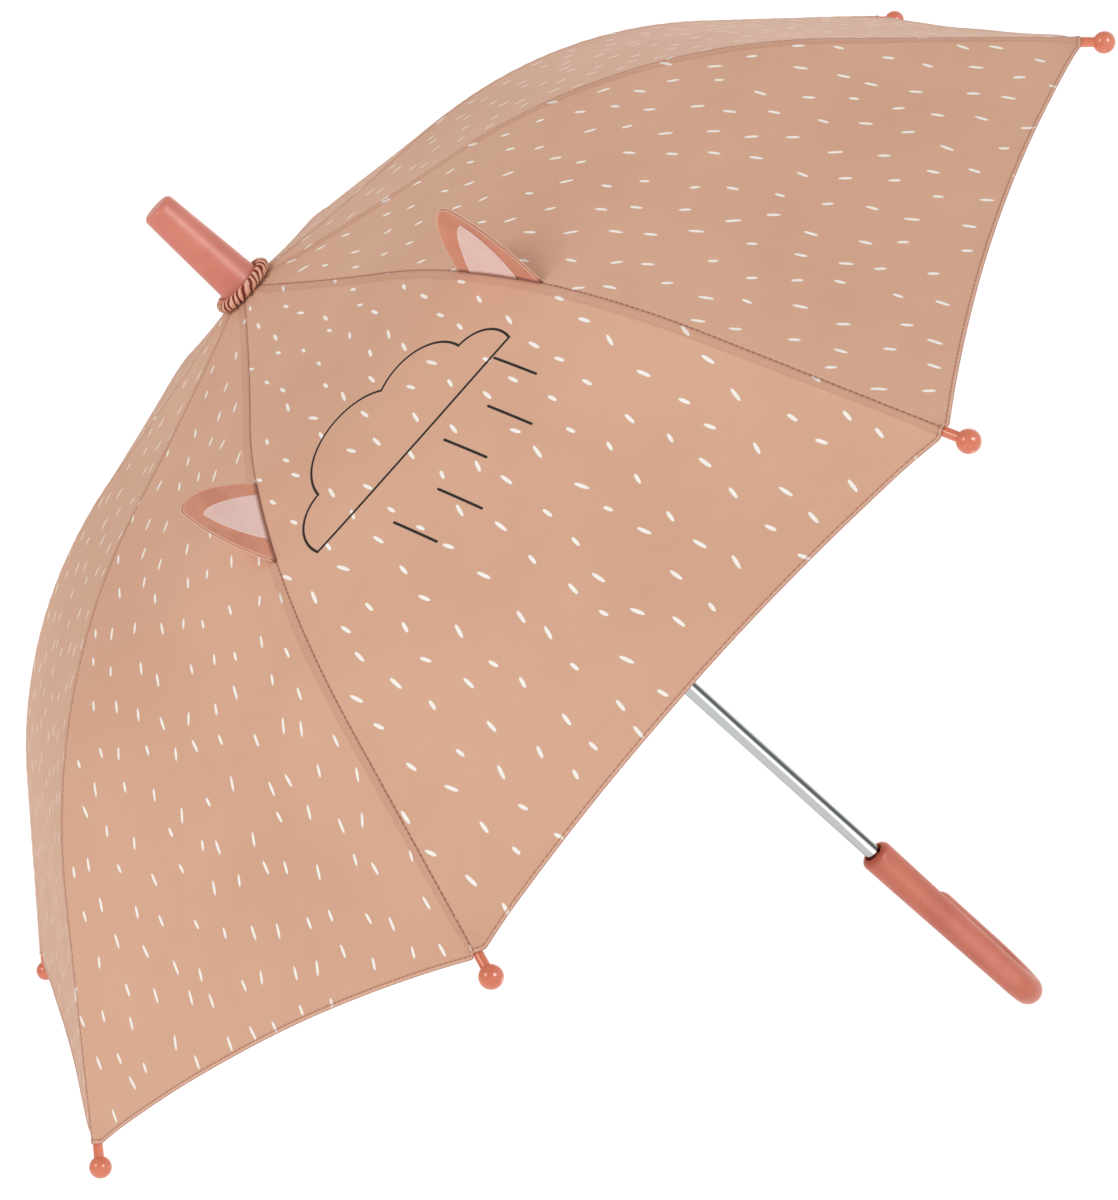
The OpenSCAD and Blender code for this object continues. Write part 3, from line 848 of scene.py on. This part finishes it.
def ear_cloth(name, tint, shade, edge):
    finish = Finish(name)
    rim, foot = finish.attribute("rim"), finish.attribute("foot")
    drift = finish.noise(finish.place(), 60, 3)
    weave = finish.noise(finish.place(), 2600, 2)
    base = finish.mix(drift.fade(0.3, 0.7), tint, shade)
    # Painted highlight: paler towards the edges.
    base = finish.mix(1 - rim.fade(0.3 * MM, 0.9 * MM), base, edge)
    # Painted shade: a dark line along the foot, where the ear meets the seam.
    base = finish.mix((1 - foot.fade(0.5 * MM, 2.2 * MM)) * 0.8, base, thread_and_shade_brown)
    return finish.surface(
        Base_Color=base, Roughness=0.74, Normal=finish.bump(weave, 0.03 * MM),
        Sheen_Weight=0.12, Sheen_Roughness=0.45,
    )


# The third colour of each is a painted highlight along the edges.
ear_outer = ear_cloth("ear_cloth", colour(221, 151, 123), colour(209, 137, 109), colour(233, 180, 154))
ear_inner = ear_cloth("ear_lining", colour(240, 208, 201), colour(233, 199, 192), colour(244, 216, 208))


def half_width(h, side, width, curves):
    """Half the width of a layer at the share h of its height, towards the crown or the rib's tip."""
    return width / 2 * (1 - h) ** curves[side > 0] * (1 + h / 4)


def ear_cup(along, lift, sweep):
    """How far an ear is hollowed, at a length along the seam from its seat and a height above it."""
    h = min(lift / ear_h, 1)
    beside = along - sweep * h
    x = min(abs(beside) / max(half_width(h, beside, ear_w, ear_curves), 0.1 * MM), 1)
    return ear_hollow * (1 - x * x) * h * (1 - h) * 4


print("ear cloths", ear_outer.name, ear_inner.name)


# %% Ears
def ear_sheet(name, finish, ear, layer):
    """One layer of an ear, bent over the seam that it stands in."""
    row_h = layer.height / ear_rows
    cut_area = sum(
        half_width((k + 0.5) / ear_rows, side, layer.width, layer.curves) * row_h
        for k in range(ear_rows) for side in (-1, 1)
    )
    outward = heading(azimuth(ear.rib))
    aside = heading(azimuth(ear.rib) + math.pi / 2) * ear.way
    bm = bmesh.new()
    bmesh.ops.create_grid(bm, x_segments=ear_columns, y_segments=ear_rows, size=0.5)
    rim_mark, foot_shade_mark = (bm.verts.layers.float.new(mark) for mark in ("rim", "foot"))
    for vert in bm.verts:
        x, row = vert.co.x * 2, vert.co.y + 0.5
        h = 1 - (1 - row) ** 2
        half = half_width(h, x, layer.width, layer.curves)
        along = layer.shift + x * half + layer.sweep * h
        r, z, slope = cloth_line(ear.seat + along)
        up = outward * math.sin(slope) + Vector((0, 0, math.cos(slope)))
        lift = up * math.cos(ear.lean) + aside * math.sin(ear.lean)
        face = aside * math.cos(ear.lean) - up * math.sin(ear.lean)
        behind = layer.back + ear_cup(along, layer.height * h, ear.sweep)
        vert.co = outward * r + Vector((0, 0, z)) + lift * layer.height * h + face * behind
        # Distance to the edge, for the painted highlight, and height above the foot, for the painted shade.
        vert[rim_mark] = min((1 - abs(x)) * half, (1 - h) * layer.height) if row > 0 else half
        vert[foot_shade_mark] = layer.height * h
    bmesh.ops.remove_doubles(bm, verts=bm.verts, dist=0.01 * MM)
    bmesh.ops.recalc_face_normals(bm, faces=bm.faces)
    sheet = add_piece(bm, name, finish)
    thicken(sheet, layer_t)
    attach(sheet, f"rib_{ear.rib}")
    return sheet


ears = (
    Ear("right", rib=1, way=1, seat=root_len + 75.5 * MM, lean=0, sweep=-5 * MM, lining_sweep=-1.5 * MM),
    Ear("left", rib=2, way=-1, seat=root_len + 67.5 * MM, lean=math.radians(18), sweep=5 * MM,
        lining_sweep=5.5 * MM),
)
for ear in ears:
    back = Layer(ear_w, ear_h, back=0.55 * MM, shift=0, sweep=ear.sweep, curves=ear_curves)
    front = back._replace(width=ear_w - 1.2 * MM, height=ear_h - 0.6 * MM, back=-0.2 * MM)
    lining = Layer(
        lining_w, lining_h, back=-0.7 * MM, shift=-2.5 * MM, sweep=ear.lining_sweep, curves=lining_curves
    )
    outer = ear_sheet(f"ear_{ear.side}_back", ear_outer, ear, back)
    ear_sheet(f"ear_{ear.side}_front", ear_outer, ear, front)
    ear_sheet(f"ear_{ear.side}_lining", ear_inner, ear, lining)
    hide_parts(f"ear_{ear.side}")
print("ears", round(ear_w / MM), "by", round(ear_h / MM), "mm")

# %% [markdown]
# ## Table
# A wide disc just under the handle. It belongs to the studio and not to the umbrella.

# %% Table
table = Finish("table_white")
table.surface(
    Base_Color=colour(105, 105, 105), Roughness=0.8,
    Emission_Color=(1, 1, 1, 1), Emission_Strength=0.95,
)
table_r = 40
bm = bmesh.new()
bmesh.ops.create_circle(bm, cap_ends=True, segments=96, radius=table_r)
bmesh.ops.translate(bm, verts=bm.verts, vec=(0, 0, table_z))
floor = add_piece(bm, "table_top", table.material)
